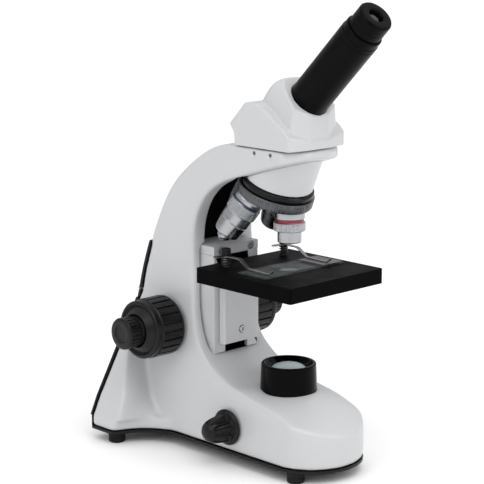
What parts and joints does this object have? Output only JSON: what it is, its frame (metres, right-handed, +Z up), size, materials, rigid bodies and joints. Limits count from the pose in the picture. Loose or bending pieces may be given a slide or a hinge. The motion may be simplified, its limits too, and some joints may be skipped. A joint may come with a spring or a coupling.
{
  "type": "microscope",
  "caption": "Monocular student microscope with inclined eyepiece tube, revolving nosepiece, square stage with clips, curved white stand and base lamp.",
  "frame": {"origin": "centre of the bounding box on the bench plane under the feet", "axes": "+Z up, eyepiece and toe towards -Y, arm towards +Y, focus knobs along X"},
  "size_m": [0.1492, 0.2193, 0.3202],
  "materials": {
    "enamel": "grey-white gloss enamel",
    "enamel_head": "white gloss enamel",
    "black_plastic": "satin black moulding",
    "black_matte": "matt black",
    "knob_plastic": "fine-grained black",
    "stage_black": "gloss black enamel",
    "anodised": "black anodised",
    "rubber": "moulded rubber",
    "steel": "turned steel",
    "zinc_screw": "zinc plated",
    "chrome": "satin chrome",
    "brass": "machined brass",
    "glass": "clear polished",
    "lamp_glass": "frosted",
    "circuit": "circuit board",
    "led": "lamp chip"
  },
  "bodies": {
    "stand": {"stand_casting": "enamel", "base_plate": "black_plastic", "back_cover": "black_plastic", "feet": "rubber", "base_screws": "zinc_screw", "cover_screws": "zinc_screw", "arm_liner": "black_matte", "guide_block": "enamel", "guide_cap": "enamel", "guide_screws": "zinc_screw", "slide_rails": "steel", "knob_bushes": "brass", "nosepiece_mount": "enamel_head", "turret_pivot": "steel", "arm_screws": "zinc_screw", "lamp_housing": "black_plastic", "lamp_lens": "lamp_glass", "lamp_board": "circuit", "led": "led", "dimmer_pot": "black_matte", "dc_inlet": "black_plastic"},
    "carriage": {"carriage": "brass", "rack": "brass"},
    "stage": {"stage_plate": "stage_black", "stage_bracket": "enamel", "bracket_screw": "zinc_screw", "condenser_ring": "anodised", "condenser_lens": "glass", "clip_posts": "steel", "clip_springs": "steel", "diaphragm_pin": "steel"},
    "clip_left": {"clip_left": "steel", "clip_knob": "black_matte"},
    "clip_right": {"clip_right": "steel", "clip_screw": "steel"},
    "specimen": {"glass_slide": "glass", "cover_slip": "glass"},
    "diaphragm": {"diaphragm_disc": "anodised"},
    "coarse": {"coarse_knob_left": "knob_plastic", "coarse_knob_right": "knob_plastic", "coarse_shaft": "steel", "pinion": "steel"},
    "fine": {"fine_knob_left": "knob_plastic", "fine_knob_right": "knob_plastic", "fine_shaft": "steel"},
    "nosepiece": {"turret_race": "anodised", "turret_body": "chrome", "objective_4x": "chrome", "objective_10x": "chrome", "objective_40x": "chrome", "objective_lenses": "glass"},
    "sprung_tip": {"objective_tip": "chrome", "tip_lens": "glass"},
    "head": {"head_housing": "enamel_head", "head_dovetail": "steel", "prism": "glass", "viewing_tube": "anodised"},
    "eyepiece": {"eyepiece_barrel": "anodised", "eyepiece_lenses": "glass"},
    "dimmer": {"dimmer_knob": "knob_plastic"}
  },
  "joints": [
    {"name": "coarse_travel", "type": "slide", "parent": "stand", "child": "carriage", "axis": [0, 0, 1], "range_m": [-0.006, 0]},
    {"name": "fine_travel", "type": "slide", "parent": "carriage", "child": "stage", "axis": [0, 0, 1], "range_m": [-0.0009, 0.0005]},
    {"name": "coarse_turn", "type": "hinge", "parent": "stand", "child": "coarse", "pos_m": [0, 0.06365, 0.0875], "axis": [1, 0, 0], "range_deg": [0, 75]},
    {"name": "fine_turn", "type": "hinge", "parent": "stand", "child": "fine", "pos_m": [0, 0.06365, 0.0875], "axis": [1, 0, 0], "range_deg": [-1620, 900]},
    {"name": "nosepiece_turn", "type": "hinge", "parent": "stand", "child": "nosepiece", "pos_m": [0, -0.02635, 0.2229], "axis": [0, 0.3502, -0.9367], "continuous": true},
    {"name": "tip_spring", "type": "slide", "parent": "nosepiece", "child": "sprung_tip", "axis": [0.3033, -0.492, 0.816], "range_m": [0, 0.0015], "stiffness_N_per_m": 900, "springref_m": -0.001},
    {"name": "head_turn", "type": "hinge", "parent": "stand", "child": "head", "pos_m": [0, -0.02635, 0.2215], "axis": [0, 0, 1], "continuous": true},
    {"name": "eyepiece_lift", "type": "slide", "parent": "head", "child": "eyepiece", "axis": [0, -0.7071, 0.7071], "range_m": [0, 0.03]},
    {"name": "clip_left_turn", "type": "hinge", "parent": "stage", "child": "clip_left", "pos_m": [-0.028, 0.00665, 0.1375], "axis": [0, 0, 1], "range_deg": [-60, 10]},
    {"name": "clip_right_turn", "type": "hinge", "parent": "stage", "child": "clip_right", "pos_m": [0.028, 0.00665, 0.1375], "axis": [0, 0, 1], "range_deg": [-10, 60]},
    {"name": "specimen_slide", "type": "slide", "parent": "stage", "child": "specimen", "axis": [1, 0, 0], "range_m": [-0.012, 0.012]},
    {"name": "diaphragm_turn", "type": "hinge", "parent": "stage", "child": "diaphragm", "pos_m": [0.013, -0.03935, 0.1295], "axis": [0, 0, 1], "continuous": true},
    {"name": "dimmer_turn", "type": "hinge", "parent": "stand", "child": "dimmer", "pos_m": [-0.0357, -0.00295, 0.0271], "axis": [1, 0, 0], "range_deg": [0, 280]}
  ],
  "couplings": [
    {"joint": "coarse_turn", "follows": "coarse_travel", "rad_per_m": -208.33},
    {"joint": "fine_turn", "follows": "fine_travel", "rad_per_m": 31416}
  ]
}
